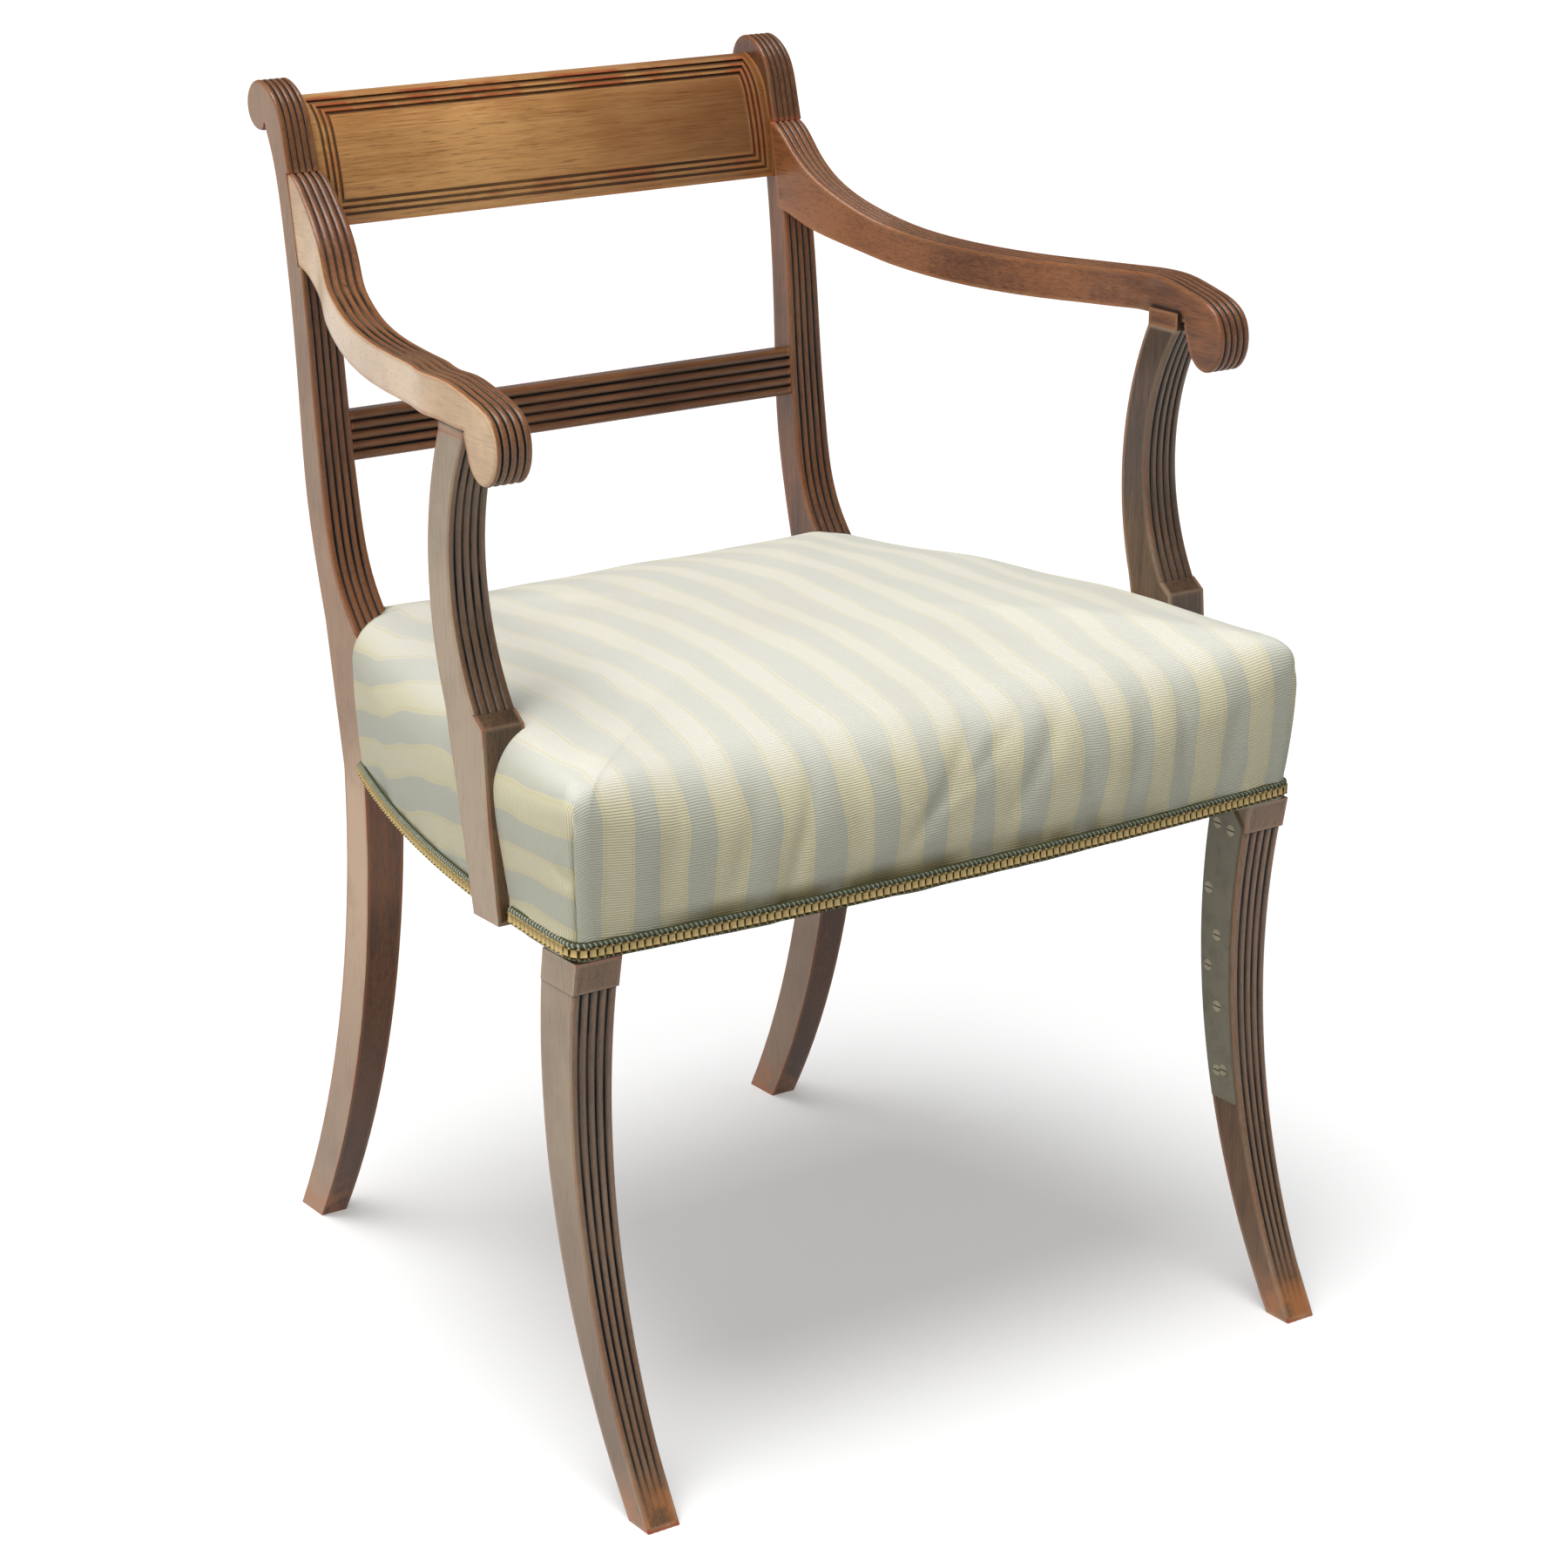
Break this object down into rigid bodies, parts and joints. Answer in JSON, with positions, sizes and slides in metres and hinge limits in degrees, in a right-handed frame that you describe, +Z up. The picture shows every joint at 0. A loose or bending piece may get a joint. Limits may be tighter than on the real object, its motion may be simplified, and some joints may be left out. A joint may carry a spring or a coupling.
{
  "type": "carver chair",
  "caption": "Reeded mahogany carver armchair with sabre legs, scrolled arms, rolled crest rail and a striped stuff-over seat.",
  "frame": {"origin": "on the floor under the centre of the chair's plan box", "axes": "+Z up, -Y towards the front of the seat, +X to the sitter's left, which is the viewer's right from the front"},
  "size_m": [0.6052, 0.6047, 0.85],
  "materials": {
    "mahogany": "worn wax polish",
    "beech": "unpolished",
    "striped_cover": "woven cream and grey stripe",
    "gimp_braid": "woven braid",
    "stuffing": "loose hair",
    "hessian": "open weave",
    "webbing": "herringbone weave",
    "tack_iron": "blued",
    "plate_iron": "dull brown oxide",
    "plate_screws": "dull brown oxide",
    "screw_iron": "dull"
  },
  "bodies": {
    "root": {"arm_dowels": "beech", "arm_support_screws": "screw_iron", "base_cloth": "hessian", "corner_block_screws": "screw_iron", "crest_rail": "mahogany", "front_gimp": "gimp_braid", "front_left_corner_block": "beech", "front_right_corner_block": "beech", "front_seat_rail": "beech", "left_arm": "mahogany", "left_arm_support": "mahogany", "left_front_leg": "mahogany", "left_rear_post": "mahogany", "left_seat_rail": "beech", "left_side_gimp": "gimp_braid", "mid_rail": "mahogany", "rear_gimp": "gimp_braid", "rear_left_corner_block": "beech", "rear_right_corner_block": "beech", "rear_seat_rail": "beech", "repair_plate": "plate_iron", "repair_plate_screws": "plate_screws", "right_arm": "mahogany", "right_arm_support": "mahogany", "right_front_leg": "mahogany", "right_rear_post": "mahogany", "right_seat_rail": "beech", "right_side_gimp": "gimp_braid", "seat_cover": "striped_cover", "seat_stuffing": "stuffing", "webbing_front_to_back": "webbing", "webbing_side_to_side": "webbing", "webbing_tacks": "tack_iron"}
  },
  "joints": []
}
